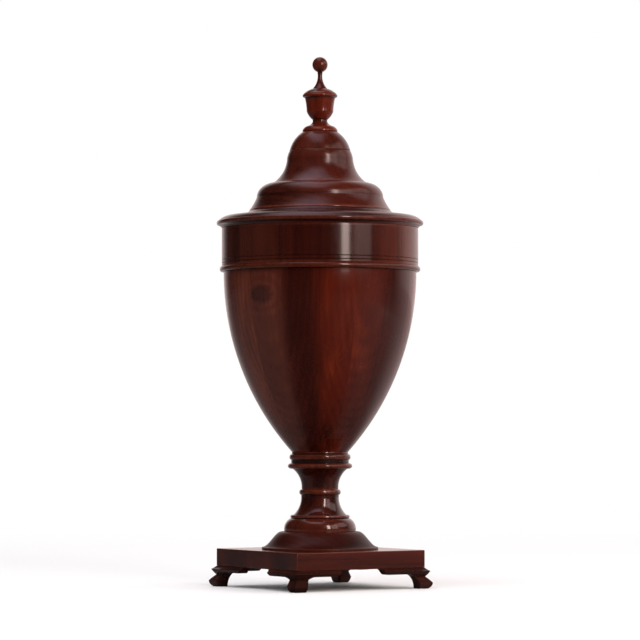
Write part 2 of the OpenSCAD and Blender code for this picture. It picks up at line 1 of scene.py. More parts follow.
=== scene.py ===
import bpy
import bmesh
import math
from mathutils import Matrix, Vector


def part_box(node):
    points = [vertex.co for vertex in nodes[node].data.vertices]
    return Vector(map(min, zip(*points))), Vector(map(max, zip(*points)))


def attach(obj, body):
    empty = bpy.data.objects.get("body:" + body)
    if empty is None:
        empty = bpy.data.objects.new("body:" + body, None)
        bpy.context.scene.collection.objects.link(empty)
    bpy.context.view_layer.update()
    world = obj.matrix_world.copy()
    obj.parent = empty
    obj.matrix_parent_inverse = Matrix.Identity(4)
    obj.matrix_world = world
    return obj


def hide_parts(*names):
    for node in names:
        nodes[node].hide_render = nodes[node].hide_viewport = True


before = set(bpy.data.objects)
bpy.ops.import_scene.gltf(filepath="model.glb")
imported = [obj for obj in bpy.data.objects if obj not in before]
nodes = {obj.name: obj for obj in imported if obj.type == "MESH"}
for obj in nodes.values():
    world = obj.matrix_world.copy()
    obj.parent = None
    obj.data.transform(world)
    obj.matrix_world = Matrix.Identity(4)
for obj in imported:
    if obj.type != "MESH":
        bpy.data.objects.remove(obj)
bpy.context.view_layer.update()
scene = bpy.context.scene
scene.view_settings.view_transform = "Standard"
print("frame loaded with", len(nodes), "nodes")


# the picture: a long lens, held a little above the urn's foot
picture = {"turn": -33.0, "away": 3.7, "eye": 0.19, "aim": 0.312, "lens": 178.0, "clipEnd": 60.0}


def towards(angle):  # a level direction from the urn, in degrees from its front
    a = math.radians(angle)
    return Vector((math.sin(a), -math.cos(a), 0.0))


def lookFrom(place, target):
    return (Vector(target) - Vector(place)).to_track_quat("-Z", "Y").to_euler()


eyePlace = towards(picture["turn"]) * picture["away"] + Vector((0, 0, picture["eye"]))
bpy.ops.object.camera_add(location=eyePlace, rotation=lookFrom(eyePlace, (0, 0, picture["aim"])))
camera = bpy.context.object
camera.name = "urnCamera"
camera.data.lens = picture["lens"]
camera.data.clip_end = picture["clipEnd"]
scene.camera = camera
print("camera placed")


# node helpers
def addNode(tree, kind, values=None, **settings):
    node = tree.nodes.new(kind)
    for key, value in settings.items():
        setattr(node, key, value)
    for key, value in (values or {}).items():
        give(tree, node.inputs[key], value)
    return node


def give(tree, socket, value):  # a number, a colour or another node's output
    if isinstance(value, bpy.types.NodeSocket):
        tree.links.new(value, socket)
    elif value is not None:
        socket.default_value = value


def calc(tree, what, first, second=None, third=None, clamp=False):
    node = addNode(tree, "ShaderNodeMath", operation=what, use_clamp=clamp)
    for socket, value in zip(node.inputs, (first, second, third)):
        give(tree, socket, value)
    return node.outputs[0]


def times(tree, first, second, clamp=False):
    return calc(tree, "MULTIPLY", first, second, clamp=clamp)


def addTo(tree, base, value, amount):  # the base plus a share of the value
    return calc(tree, "MULTIPLY_ADD", value, amount, base)


def centred(tree, value):  # a texture's 0 to 1 as -0.5 to 0.5
    return calc(tree, "SUBTRACT", value, 0.5)


def vecCalc(tree, what, first, second=None):
    node = addNode(tree, "ShaderNodeVectorMath", operation=what)
    for socket, value in zip(node.inputs, (first, second)):
        give(tree, socket, value)
    return node.outputs["Value" if what in ("LENGTH", "DOT_PRODUCT") else "Vector"]


def stretch(tree, vector, by):
    return vecCalc(tree, "MULTIPLY", vector, by)


def spread(tree, value, low, high, newLow=0.0, newHigh=1.0):  # smooth step from one range to another
    node = addNode(tree, "ShaderNodeMapRange", interpolation_type="SMOOTHSTEP")
    for socket, v in zip(node.inputs, (value, low, high, newLow, newHigh)):
        give(tree, socket, v)
    return node.outputs[0]


def mixColor(tree, factor, first, second):
    node = addNode(tree, "ShaderNodeMix", data_type="RGBA")
    for socket, value in zip((node.inputs[0], node.inputs[6], node.inputs[7]), (factor, first, second)):
        give(tree, socket, value)
    return node.outputs[2]


def noise(tree, vector, scale, detail=2.0, rough=0.5, output=0):
    return addNode(tree, "ShaderNodeTexNoise", {"Vector": vector, "Scale": scale, "Detail": detail,
                                                "Roughness": rough}).outputs[output]


def startGroup(name, inputs, outputs):
    group = bpy.data.node_groups.new(name, "ShaderNodeTree")
    for label, kind, value in inputs:
        socket = group.interface.new_socket(name=label, in_out="INPUT", socket_type="NodeSocket" + kind)
        if value is not None:
            socket.default_value = value
    for label, kind in outputs:
        group.interface.new_socket(name=label, in_out="OUTPUT", socket_type="NodeSocket" + kind)
    return group, group.nodes.new("NodeGroupInput").outputs, group.nodes.new("NodeGroupOutput").inputs


def useGroup(tree, group, values):
    return addNode(tree, "ShaderNodeGroup", values, node_tree=group).outputs


# wood whose grain runs up Z: broad figure, ribbon, fine streaks, growth rings and open pores.
# each layer has its texture's scale and its share of that scale along the grain
grainPlan = {
    "drift": (8.0, 0.3), "broad": (15.0, 0.22), "ribbon": (80.0, 0.05), "streak": (380.0, 0.022),
    "pore": (1500.0, 0.04), "sway": 0.022, "pith": (0.085, -0.06, 0.0), "ringsAlong": 0.02, "rings": 900.0,
    "ringWander": 14.0, "ringTone": 0.045, "figureTone": 1.7, "middleFrom": (0.12, 0.52),
    "lightFrom": (0.48, 0.92), "poreFrom": (0.58, 0.70), "poreTone": 0.62, "streakHeight": 0.35,
}


def grainLayer(tree, vector, layer, detail=2.0, rough=0.5, output=0):
    scale, along = grainPlan[layer]
    return noise(tree, stretch(tree, vector, (1, 1, along)), scale, detail, rough, output)


def makeGrainGroup():
    group, into, out = startGroup("mahoganyGrain", [
        ("Vector", "Vector", None), ("Dark", "Color", None), ("Middle", "Color", None),
        ("Light", "Color", None), ("Figure", "Float", 1.0), ("Ribbon", "Float", 0.7),
        ("Streaks", "Float", 0.8), ("Pores", "Float", 0.7), ("Shift", "Float", 0.0)],
        [("Color", "Color"), ("Height", "Float")])
    place, sway = into["Vector"], grainPlan["sway"]
    drift = vecCalc(group, "SUBTRACT", grainLayer(group, place, "drift", output="Color"), (0.5, 0.5, 0.5))
    wavy = vecCalc(group, "ADD", place, stretch(group, drift, (sway, sway, 0.0)))
    broad = grainLayer(group, wavy, "broad")
    ribbon = grainLayer(group, wavy, "ribbon")
    streak = grainLayer(group, wavy, "streak", detail=4.0, rough=0.65)
    pore = grainLayer(group, wavy, "pore", detail=1.0)
    fromPith = vecCalc(group, "LENGTH", stretch(group, vecCalc(group, "ADD", wavy, grainPlan["pith"]),
                                                (1, 1, grainPlan["ringsAlong"])))
    ring = calc(group, "SINE", calc(group, "ADD", times(group, fromPith, grainPlan["rings"]),
                                    times(group, broad, grainPlan["ringWander"])))
    tone = addTo(group, 0.5, centred(group, broad), times(group, into["Figure"], grainPlan["figureTone"]))
    tone = addTo(group, tone, centred(group, ribbon), into["Ribbon"])
    tone = addTo(group, tone, centred(group, streak), into["Streaks"])
    tone = calc(group, "ADD", addTo(group, tone, ring, grainPlan["ringTone"]), into["Shift"])
    color = mixColor(group, spread(group, tone, *grainPlan["middleFrom"]), into["Dark"], into["Middle"])
    color = mixColor(group, spread(group, tone, *grainPlan["lightFrom"]), color, into["Light"])
    openPore = times(group, spread(group, pore, *grainPlan["poreFrom"]), into["Pores"])
    color = mixColor(group, times(group, openPore, grainPlan["poreTone"]), color, into["Dark"])
    give(group, out["Color"], color)
    raised = times(group, streak, grainPlan["streakHeight"])
    give(group, out["Height"], calc(group, "SUBTRACT", raised, openPore))
    return group


# what years of hands and wax do: rubbed arrises, a cloudy polish, and in the quirks dark wax with painted
# shade
polishPlan = {"cloud": 26.0, "fleck": 240.0, "ragged": (-0.15, 1.3), "rub": 0.55, "waxFleck": (0.6, 0.6),
              "wax": 0.88, "cloudRough": 0.16, "fleckRough": 0.08, "waxRough": 0.3, "smoothest": 0.06}


def makePolishGroup():
    group, into, out = startGroup("handPolish", [
        ("Vector", "Vector", None), ("Color", "Color", None), ("Edge", "Float", 0.0),
        ("Rubbed", "Color", None), ("Wax", "Color", None), ("Gloss", "Float", 0.2)],
        [("Color", "Color"), ("Roughness", "Float")])
    cloud = noise(group, into["Vector"], polishPlan["cloud"], detail=3.0)
    fleck = noise(group, into["Vector"], polishPlan["fleck"], detail=3.0, rough=0.6)
    base, amount = polishPlan["ragged"]
    arris = times(group, calc(group, "MAXIMUM", into["Edge"], 0.0), addTo(group, base, fleck, amount))
    rub = times(group, arris, polishPlan["rub"], clamp=True)
    # the quirks are darkened: dark wax and painted shade
    base, amount = polishPlan["waxFleck"]
    quirk = times(group, times(group, into["Edge"], -1.0, clamp=True), addTo(group, base, fleck, amount))
    wax = times(group, quirk, polishPlan["wax"], clamp=True)
    color = mixColor(group, rub, into["Color"], into["Rubbed"])
    give(group, out["Color"], mixColor(group, wax, color, into["Wax"]))
    rough = addTo(group, into["Gloss"], centred(group, cloud), polishPlan["cloudRough"])
    rough = addTo(group, rough, centred(group, fleck), polishPlan["fleckRough"])
    rough = addTo(group, rough, wax, polishPlan["waxRough"])
    give(group, out["Roughness"], calc(group, "MAXIMUM", rough, polishPlan["smoothest"]))
    return group


# boxwood lines let into a deck: one round each slot and one round the rim, sizes in metres
stringPlan = {"slotLong": 0.013, "slotWide": 0.0035, "gap": 0.0007, "line": 0.0009, "soft": 0.00008}


def makeStringGroup():
    group, into, out = startGroup("slotStringing", [
        ("Vector", "Vector", None), ("Slots", "Float", 12.0), ("Middle", "Float", 0.079),
        ("Rim", "Float", 0.097)], [("Mask", "Float")])
    flat = stretch(group, into["Vector"], (1, 1, 0))
    reach = vecCalc(group, "LENGTH", flat)
    apart = addNode(group, "ShaderNodeSeparateXYZ", {"Vector": flat}).outputs
    angle = calc(group, "ARCTAN2", apart["Y"], apart["X"])
    step = calc(group, "DIVIDE", 2 * math.pi, into["Slots"])
    nearest = calc(group, "ROUND", calc(group, "DIVIDE", angle, step))
    angle = calc(group, "SUBTRACT", angle, times(group, step, nearest))
    along = calc(group, "SUBTRACT", times(group, reach, calc(group, "COSINE", angle)), into["Middle"])
    across = times(group, reach, calc(group, "SINE", angle))
    pastEnd = calc(group, "SUBTRACT", calc(group, "ABSOLUTE", along), stringPlan["slotLong"])
    pastSide = calc(group, "SUBTRACT", calc(group, "ABSOLUTE", across), stringPlan["slotWide"])
    fromSlot = calc(group, "MAXIMUM", pastEnd, pastSide)
    fromRim = calc(group, "SUBTRACT", reach, into["Rim"])
    lines = []
    for distance, low in ((fromSlot, stringPlan["gap"]), (fromRim, 0.0)):
        high = low + stringPlan["line"]
        lines.append(times(group, spread(group, distance, low, low + stringPlan["soft"]),
                           spread(group, distance, high + stringPlan["soft"], high)))
    give(group, out["Mask"], calc(group, "MAXIMUM", *lines))
    return group


grainGroup = makeGrainGroup()
polishGroup = makePolishGroup()
stringGroup = makeStringGroup()
print("grain, polish and stringing groups made")


def tint(red, green, blue):  # a screen colour 0-255 as the shader's linear colour
    return tuple(c / 255 / 12.92 if c < 10.3 else ((c / 255 + 0.055) / 1.055) ** 2.4
                 for c in (red, green, blue)) + (1,)


# the tones of the urn's polished wood; the quirk tone is dark wax and painted shade
deepTones = {"dark": tint(24, 5, 3), "middle": tint(42, 10, 5), "light": tint(63, 18, 9),
             "rubbed": tint(98, 44, 26), "wax": tint(15, 4, 3)}
redTones = {"dark": tint(33, 8, 4), "middle": tint(58, 18, 10), "light": tint(82, 30, 17),
            "rubbed": tint(112, 54, 34), "wax": tint(16, 5, 4)}
glowTones = {"dark": tint(38, 8, 3), "middle": tint(68, 18, 6), "light": tint(95, 32, 10),
             "rubbed": tint(126, 62, 35), "wax": tint(17, 6, 4)}
brownTones = {"dark": tint(42, 17, 12), "middle": tint(69, 31, 22), "light": tint(94, 46, 33),
              "rubbed": tint(116, 64, 42), "wax": tint(16, 7, 5)}
fadedTones = {"dark": tint(56, 24, 18), "middle": tint(84, 40, 29), "light": tint(108, 56, 41)}
footTones = {"dark": tint(25, 9, 6), "middle": tint(46, 19, 13), "light": tint(70, 33, 22),
             "rubbed": tint(104, 58, 40), "wax": tint(14, 6, 5)}
boxwoodTones = {"dark": tint(150, 112, 62), "light": tint(186, 150, 92), "fine": 900.0}
print("tones set")


def startMaterial(name, **sockets):
    material = bpy.data.materials.new(name)
    material.use_nodes = True
    tree = material.node_tree
    shader = next(n for n in tree.nodes if n.type == "BSDF_PRINCIPLED")
    for key, value in sockets.items():
        shader.inputs[key.replace("_", " ")].default_value = value
    return material, tree, shader


def setSurface(tree, shader, color, rough, height, bump):
    strength, deep = bump
    raised = addNode(tree, "ShaderNodeBump", {"Strength": strength, "Distance": deep, "Height": height})
    for key, value in (("Base Color", color), ("Roughness", rough), ("Normal", raised.outputs[0])):
        give(tree, shader.inputs[key], value)


def objectCoord(tree):
    return addNode(tree, "ShaderNodeTexCoord").outputs["Object"]


def edgeMark(tree):  # above 0 on arrises, below 0 in quirks
    return addNode(tree, "ShaderNodeAttribute", attribute_name="edge").outputs["Fac"]


def placed(tree, coord, at, turn=(0, 0, 0)):  # the coordinates moved and turned for this board
    return addNode(tree, "ShaderNodeMapping", {
        "Vector": coord, "Location": at, "Rotation": tuple(math.radians(a) for a in turn)}).outputs[0]


# a knot: a dark core with rings of grain round it, distances in half widths
knotPlan = {"swirl": 2.2, "swirlAmount": 0.7, "core": (1.5, 0.15), "rings": 7.0, "halo": (3.6, 0.8),
            "haloShift": 0.09, "coreShift": -0.2, "coreTone": 0.62}


def addKnot(tree, coord, knot, shift):  # gives the core's mask and the shift of the grain's tone
    a = math.radians(knot["angle"])
    local = addNode(tree, "ShaderNodeMapping", {
        "Vector": coord, "Location": (math.cos(a) * knot["out"], math.sin(a) * knot["out"], knot["height"]),
        "Rotation": (0, 0, a + math.pi / 2), "Scale": (knot["wide"], 1, knot["tall"])},
        vector_type="TEXTURE").outputs[0]
    far = vecCalc(tree, "LENGTH", stretch(tree, local, (1, 0, 1)))
    swirl = noise(tree, local, knotPlan["swirl"], detail=3.0)
    far = addTo(tree, far, centred(tree, swirl), knotPlan["swirlAmount"])
    core = spread(tree, far, *knotPlan["core"])
    rings = calc(tree, "SINE", times(tree, far, knotPlan["rings"]))
    halo = times(tree, rings, spread(tree, far, *knotPlan["halo"]))
    shift = addTo(tree, shift, halo, knotPlan["haloShift"])
    return core, addTo(tree, shift, core, knotPlan["coreShift"])


# towards its sides a board's tone drifts to that of the next board, distances in half widths
driftPlan = {"wander": 30.0, "wanderAlong": 0.3, "wanderAmount": 0.5, "from": (0.5, 1.15), "most": 0.55,
             "goneAt": (4.2, 2.5)}


def driftShades(tree, coord, spot, beside, shades):
    local = addNode(tree, "ShaderNodeMapping", {
        "Vector": coord, "Rotation": (0, 0, -math.radians(beside["angle"]))}).outputs[0]
    apart = addNode(tree, "ShaderNodeSeparateXYZ", {"Vector": local}).outputs
    side = calc(tree, "DIVIDE", calc(tree, "ARCTAN2", apart["Y"], apart["X"]), math.radians(beside["half"]))
    wander = noise(tree, stretch(tree, spot, (1, 1, driftPlan["wanderAlong"])), driftPlan["wander"])
    side = addTo(tree, side, centred(tree, wander), driftPlan["wanderAmount"])
    for way, other in ((1, beside["next"]), (-1, beside["last"])):
        along = times(tree, side, way)
        drift = times(tree, spread(tree, along, *driftPlan["from"], 0.0, driftPlan["most"]),
                      spread(tree, along, *driftPlan["goneAt"]))  # a round band has no seam at its far side
        shades = {key: mixColor(tree, drift, shades[key], other[key]) for key in shades}
    return shades


polishedPlan = {"specular": 0.1, "ribbon": 0.4, "bump": (0.12, 0.0005)}  # bump: strength and depth


def polishedWood(name, tones, at=(0, 0, 0), turn=(0, 0, 0), figure=0.8, streaks=0.4, pores=0.5, shift=0.0,
                 gloss=0.24, coat=0.5, mirror=0.09, knot=None, beside=None, strings=None):
    material, tree, shader = startMaterial(name, Coat_Weight=coat, Coat_Roughness=mirror,
                                           Specular_IOR_Level=polishedPlan["specular"])
    coord = objectCoord(tree)
    spot = placed(tree, coord, at, turn)
    shades = {key: tones[key] for key in ("dark", "middle", "light")}
    if knot:
        core, shift = addKnot(tree, coord, knot, shift)
    if beside:
        shades = driftShades(tree, coord, spot, beside, shades)
    grain = useGroup(tree, grainGroup, {
        "Vector": spot, "Dark": shades["dark"], "Middle": shades["middle"], "Light": shades["light"],
        "Figure": figure, "Ribbon": polishedPlan["ribbon"], "Streaks": streaks, "Pores": pores,
        "Shift": shift})
    color = grain["Color"]
    if knot:
        color = mixColor(tree, times(tree, core, knotPlan["coreTone"]), color, knot["tone"])
    polish = useGroup(tree, polishGroup, {"Vector": spot, "Color": color, "Edge": edgeMark(tree),
                                          "Rubbed": tones["rubbed"], "Wax": tones["wax"], "Gloss": gloss})
    color = polish["Color"]
    if strings:
        lines = useGroup(tree, stringGroup, {"Vector": coord, "Slots": strings["slots"],
                                             "Middle": strings["middle"], "Rim": strings["rim"]})["Mask"]
        pale = mixColor(tree, noise(tree, coord, boxwoodTones["fine"]), boxwoodTones["dark"],
                        boxwoodTones["light"])
        color = mixColor(tree, lines, color, pale)
    setSurface(tree, shader, color, polish["Roughness"], grain["Height"], polishedPlan["bump"])
    return material


# unpolished wood, soiled in places
plainPlan = {"specular": 0.3, "figure": 0.7, "ribbon": 0.5, "streaks": 0.8, "pores": 0.6,
             "bump": (0.3, 0.0006), "soil": 30.0, "soilFrom": (0.5, 0.85), "soilTone": 0.6, "soilRough": 0.2}


def plainWood(name, tones, at, rough):
    material, tree, shader = startMaterial(name, Specular_IOR_Level=plainPlan["specular"])
    spot = placed(tree, objectCoord(tree), at)
    grain = useGroup(tree, grainGroup, {
        "Vector": spot, "Dark": tones["dark"], "Middle": tones["middle"], "Light": tones["light"],
        "Figure": plainPlan["figure"], "Ribbon": plainPlan["ribbon"], "Streaks": plainPlan["streaks"],
        "Pores": plainPlan["pores"]})
    soil = noise(tree, spot, plainPlan["soil"], detail=4.0, rough=0.6)
    soilMask = spread(tree, soil, *plainPlan["soilFrom"], 0.0, plainPlan["soilTone"])
    setSurface(tree, shader, mixColor(tree, soilMask, grain["Color"], tones["soiled"]),
               addTo(tree, rough, soil, plainPlan["soilRough"]), grain["Height"], plainPlan["bump"])
    return material


bareTones = {"dark": tint(58, 28, 16), "middle": tint(104, 58, 34), "light": tint(140, 88, 56),
             "soiled": tint(40, 22, 14)}
# very dark tones, for the foot blocks
darkBlockTones = {"dark": tint(26, 13, 9), "middle": tint(46, 25, 17), "light": tint(66, 38, 26),
              "soiled": tint(16, 9, 6)}
paleTones = {"dark": tint(112, 76, 44), "middle": tint(166, 124, 78), "light": tint(196, 158, 110),
             "soiled": tint(72, 48, 28)}
bareWood = plainWood("bareMahogany", bareTones, at=(0.3, 0.3, 0.3), rough=0.5)
darkBlockWood = plainWood("sootyBlockWood", darkBlockTones, at=(0.2, 0.5, 0.3), rough=0.65)
paleWood = plainWood("paleInnerWood", paleTones, at=(0.6, 0.1, 0.2), rough=0.58)
print("unpolished woods made")


# model helpers, with their tolerances in metres
near = {"same": 0.000002, "loose": 0.00001, "cut": 0.000001, "axis": 0.00002, "spot": 0.0000001}


def clearSelection():
    if bpy.context.object and bpy.context.object.mode != "OBJECT":
        bpy.ops.object.mode_set(mode="OBJECT")
    bpy.ops.object.select_all(action="DESELECT")


def mergeDoubles(threshold=near["same"]):
    bpy.ops.mesh.select_all(action="SELECT")
    bpy.ops.mesh.remove_doubles(threshold=threshold)
    bpy.ops.mesh.select_all(action="SELECT")


def mergedCopy(node, name):  # a copy of a CAD node with its loose triangles merged, left in edit mode
    clearSelection()
    piece = nodes[node].copy()
    piece.data = nodes[node].data.copy()
    piece.name = piece.data.name = name
    piece.parent = None
    for key in list(piece.keys()):
        del piece[key]
    bpy.context.collection.objects.link(piece)
    bpy.context.view_layer.objects.active = piece
    piece.select_set(True)
    piece.data.materials.clear()
    bpy.ops.mesh.customdata_custom_splitnormals_clear()
    bpy.ops.object.mode_set(mode="EDIT")
    bpy.ops.mesh.select_mode(type="VERT")
    mergeDoubles(near["loose"])
    return piece


def pick(piece, test, what="verts"):  # selects what passes the test, nothing else
    mesh = bmesh.from_edit_mesh(piece.data)
    for part in (mesh.verts, mesh.edges, mesh.faces):
        for item in part:
            item.select = False
    found = 0
    for item in getattr(mesh, what):
        if test(item):
            item.select_set(True)
            found += 1
    bmesh.update_edit_mesh(piece.data)
    return found


def halfSection(piece, angle):  # slices the piece through the axis and keeps the wire of one side
    a = math.radians(angle)
    out = Vector((math.cos(a), math.sin(a), 0))
    bpy.ops.mesh.bisect(plane_co=(0, 0, 0), plane_no=(-math.sin(a), math.cos(a), 0),
                        clear_inner=True, clear_outer=True, threshold=near["cut"])
    if pick(piece, lambda v: v.co.dot(out) < -near["loose"]):
        bpy.ops.mesh.delete(type="VERT")
    mergeDoubles()  # the cut may run along an edge and leave it twice
    for end in range(2):  # an open end is a solid core: close it on the axis
        mesh = bmesh.from_edit_mesh(piece.data)
        loose = [v for v in mesh.verts if len(v.link_edges) == 1 and v.co.dot(out) > near["axis"]]
        if not loose:
            break
        spot = loose[0].co.copy()
        pick(piece, lambda v: (v.co - spot).length < near["spot"])
        bpy.ops.mesh.extrude_region_move(TRANSFORM_OT_translate={"value": (-spot.x, -spot.y, 0)})


def turning(v):  # how sharply the wire turns at a point
    if len(v.link_edges) != 2:
        return 0.0
    a, b = (e.other_vert(v).co - v.co for e in v.link_edges)
    return math.pi - a.angle(b) if a.length and b.length else 0.0


# full easing where a corner has room for it, less in small quirks: room and size in easings
easePlan = {"corner": 0.6, "rounds": ((4.0, 1.0), (1.5, 0.4)), "segments": 3}


def easeCorners(piece, ease):
    for room, size in easePlan["rounds"]:
        if pick(piece, lambda v: turning(v) > easePlan["corner"] and
                min(e.calc_length() for e in v.link_edges) > ease * room):
            bpy.ops.mesh.bevel(offset=ease * size, segments=easePlan["segments"], affect="VERTICES")


def divideRuns(piece, longest):  # evens out the section's long runs
    mesh = bmesh.from_edit_mesh(piece.data)
    for cuts in sorted({int(e.calc_length() / longest) for e in mesh.edges} - {0}, reverse=True):
        pick(piece, lambda e: int(e.calc_length() / longest) == cuts and e.calc_length() > longest, "edges")
        bpy.ops.mesh.subdivide(number_cuts=cuts)


# how far wear and the quirks' painted shade spread, the points looked at, a full turn, and the digits that
# find a point again
edgePlan = {"reach": 0.0018, "span": 40, "full": 1.1, "digits": 5}


def markKey(reach, height):
    return round(reach, edgePlan["digits"]), round(height, edgePlan["digits"])


def wireChain(mesh):  # the section's points in order, and whether the wire is closed
    start = next((v for v in mesh.verts if len(v.link_edges) == 1), None)
    closed = start is None
    if closed:
        mesh.verts.ensure_lookup_table()
        start = mesh.verts[0]
    chain, came, walked = [start], None, {start}
    while True:
        step = next((e for e in chain[-1].link_edges if e is not came), None)
        if step is None or step.other_vert(chain[-1]) in walked:
            return chain, closed
        came = step
        chain.append(step.other_vert(chain[-1]))
        walked.add(chain[-1])


def edgeMarks(piece):  # along the section: above 0 on arrises, below 0 in quirks
    mesh = bmesh.from_edit_mesh(piece.data)
    chain, closed = wireChain(mesh)
    points = [Vector((math.hypot(v.co.x, v.co.y), v.co.z)) for v in chain]
    ring = points if closed else points + [Vector((0, points[-1].y)), Vector((0, points[0].y))]
    area = sum(p.x * q.y - q.x * p.y for p, q in zip(ring, ring[1:] + ring[:1]))
    sign = 1 if area > 0 else -1
    count = len(points)
    turns = [0.0] * count
    along = [0.0]
    for p, q in zip(points, points[1:]):
        along.append(along[-1] + (q - p).length)
    for i in range(count):
        if closed or 0 < i < count - 1:
            u, v = points[i] - points[i - 1], points[(i + 1) % count] - points[i]
            if u.length and v.length:
                turns[i] = sign * math.atan2(u.x * v.y - u.y * v.x, u.dot(v))
    marks = {}
    for i, p in enumerate(points):
        around = range(max(0, i - edgePlan["span"]), min(count, i + edgePlan["span"] + 1))
        worn = sum(turns[j] * math.exp(-((along[j] - along[i]) / edgePlan["reach"]) ** 2) for j in around)
        marks[markKey(p.x, p.y)] = max(-1.0, min(1.0, worn / edgePlan["full"]))
    return marks


def setMarks(piece, marks):
    layer = piece.data.attributes.new("edge", "FLOAT", "POINT")
    layer.data.foreach_set("value", [marks.get(markKey(math.hypot(v.co.x, v.co.y), v.co.z), 0.0)
                                     for v in piece.data.vertices])


def closeUp(piece, angle):  # merges, turns the faces outwards and smooths
    mergeDoubles()
    bpy.ops.mesh.normals_make_consistent(inside=False)
    bpy.ops.object.mode_set(mode="OBJECT")
    bpy.ops.object.shade_smooth_by_angle(angle=math.radians(angle))


turnPlan = {"section": 4.0, "longest": 0.0025, "steps": 144, "smooth": 40}


def turnedPiece(node, name, body, ease):  # turned anew from its section, with eased corners
    piece = mergedCopy(node, name)
    halfSection(piece, turnPlan["section"])
    easeCorners(piece, ease)
    divideRuns(piece, turnPlan["longest"])
    marks = edgeMarks(piece)
    bpy.ops.mesh.select_all(action="SELECT")
    bpy.ops.mesh.spin(steps=turnPlan["steps"], angle=math.radians(360), center=(0, 0, 0), axis=(0, 0, 1))
    closeUp(piece, turnPlan["smooth"])
    setMarks(piece, marks)
    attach(piece, body)
    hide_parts(node)
    return piece


sawnPlan = {"flat": 0.6, "smooth": 30, "arris": 35, "arrisSmooth": 32, "rubbed": 0.8}  # angles in degrees


def easedPiece(node, name, body, ease, segments=3):  # a sawn piece with softened arrises
    piece = mergedCopy(node, name)
    bpy.ops.mesh.dissolve_limited(angle_limit=math.radians(sawnPlan["flat"]))
    closeUp(piece, sawnPlan["smooth"])
    bevel = piece.modifiers.new("softArris", "BEVEL")
    bevel.width, bevel.segments, bevel.limit_method = ease, segments, "ANGLE"
    bevel.angle_limit = math.radians(sawnPlan["arris"])
    piece.data.materials.append(None)
    piece.data.materials.append(None)
    bevel.material = 1
    bpy.ops.object.modifier_apply(modifier=bevel.name)
    bpy.ops.object.mode_set(mode="EDIT")
    mergeDoubles()
    bpy.ops.object.mode_set(mode="OBJECT")
    bpy.ops.object.shade_smooth_by_angle(angle=math.radians(sawnPlan["arrisSmooth"]))
    layer = piece.data.attributes.new("edge", "FLOAT", "CORNER")
    for face in piece.data.polygons:  # the new faces of the bevel are the rubbed arrises
        for corner in face.loop_indices:
            layer.data[corner].value = sawnPlan["rubbed"] if face.material_index == 1 else 0.0
        face.material_index = 0
    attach(piece, body)
    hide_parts(node)
    return piece


# faces that look at the axis, or down within a radius, are left unpolished
hiddenPlan = {"inward": -0.2, "down": -0.5, "under": 0.1}


def finish(piece, material, inside=None, under=0.0):
    piece.data.materials.clear()
    piece.data.materials.append(material)
    if inside:
        piece.data.materials.append(inside)
        for face in piece.data.polygons:
            out = Vector((face.center.x, face.center.y, 0))
            inward = face.normal.dot(out.normalized()) < hiddenPlan["inward"]
            below = face.normal.z < hiddenPlan["down"] and out.length < under
            face.material_index = 1 if inward or below else 0


# how far the arrises of each kind of piece are softened, in metres
softness = {"lid": 0.0007, "foot": 0.0006, "plinth": 0.0010, "stem": 0.0006, "fine": 0.0004}


# lid: band, bead, brim, shoulder, dome, cup and ball
lidPieces = {
    "lid_band": {"name": "lidBand", "bareInside": True, "wood": {
        "tones": deepTones, "at": (0.31, 0.12, 0.2), "figure": 0.7, "shift": -0.08, "mirror": 0.13,
        "beside": {"angle": 245.0, "half": 40.0, "next": fadedTones, "last": brownTones}}},
    "lid_bead": {"name": "lidBead", "slot": "dark_mahogany", "wood": {
        "tones": deepTones, "at": (0.11, 0.42, 0.1), "turn": (90, 0, 20), "figure": 0.6}},
    "lid_brim": {"name": "lidBrim", "bareInside": True, "wood": {
        "tones": deepTones, "at": (0.2, 0.7, 0.3), "turn": (90, 0, 57), "figure": 0.8, "shift": 0.08}},
    "lid_shoulder": {"name": "lidShoulder", "bareInside": True, "wood": {
        "tones": redTones, "at": (0.5, 0.1, 0.6), "turn": (90, 0, 57), "figure": 0.8, "shift": -0.1,
        "mirror": 0.2}},
    "lid_dome": {"name": "lidDome", "bareInside": True, "wood": {
        "tones": redTones, "at": (0.63, 0.33, 0.1), "figure": 0.9, "shift": -0.04, "mirror": 0.2}},
    "finial_cup": {"name": "finialCup", "ease": softness["fine"], "wood": {
        "tones": dict(glowTones, rubbed=tint(84, 32, 16)), "at": (0.15, 0.81, 0.4), "figure": 0.6,
        "pores": 0.12, "streaks": 0.2}},
    "finial": {"name": "finialBall", "ease": softness["fine"], "wood": {
        "tones": redTones, "at": (0.44, 0.27, 0.9), "figure": 0.6, "pores": 0.12, "streaks": 0.2,
        "shift": -0.05}},
}
for node, plan in lidPieces.items():
    piece = turnedPiece(node, plan["name"], "lid", plan.get("ease", softness["lid"]))
    finish(piece, polishedWood(plan["name"] + "Wood", **plan["wood"]),
           bareWood if plan.get("bareInside") else None, under=hiddenPlan["under"])
print("lid turned")


# foot of the urn: socle, turned foot, turned neck
# the socle, turned foot and neck take tones shifted darker (-0.18, -0.2): painted shade, for the shade under
# the bowl
footPieces = {
    "socle": {"name": "socleDisc", "wood": {
        "tones": deepTones, "at": (0.8, 0.2, 0.5), "turn": (90, 0, 57), "figure": 0.8, "gloss": 0.42,
        "coat": 0.15, "mirror": 0.25, "shift": -0.18}},
    "turned_foot": {"name": "turnedFoot", "wood": {
        "tones": redTones, "at": (0.12, 0.55, 0.7), "figure": 0.9, "shift": -0.2, "coat": 0.85}},
    "turned_neck": {"name": "turnedNeck", "wood": {
        "tones": redTones, "at": (0.9, 0.65, 0.2), "figure": 0.9, "shift": -0.2, "coat": 0.6}},
}
for node, plan in footPieces.items():
    piece = turnedPiece(node, plan["name"], "urn", softness["foot"])
    finish(piece, polishedWood(plan["name"] + "Wood", **plan["wood"]))
print("foot turned")


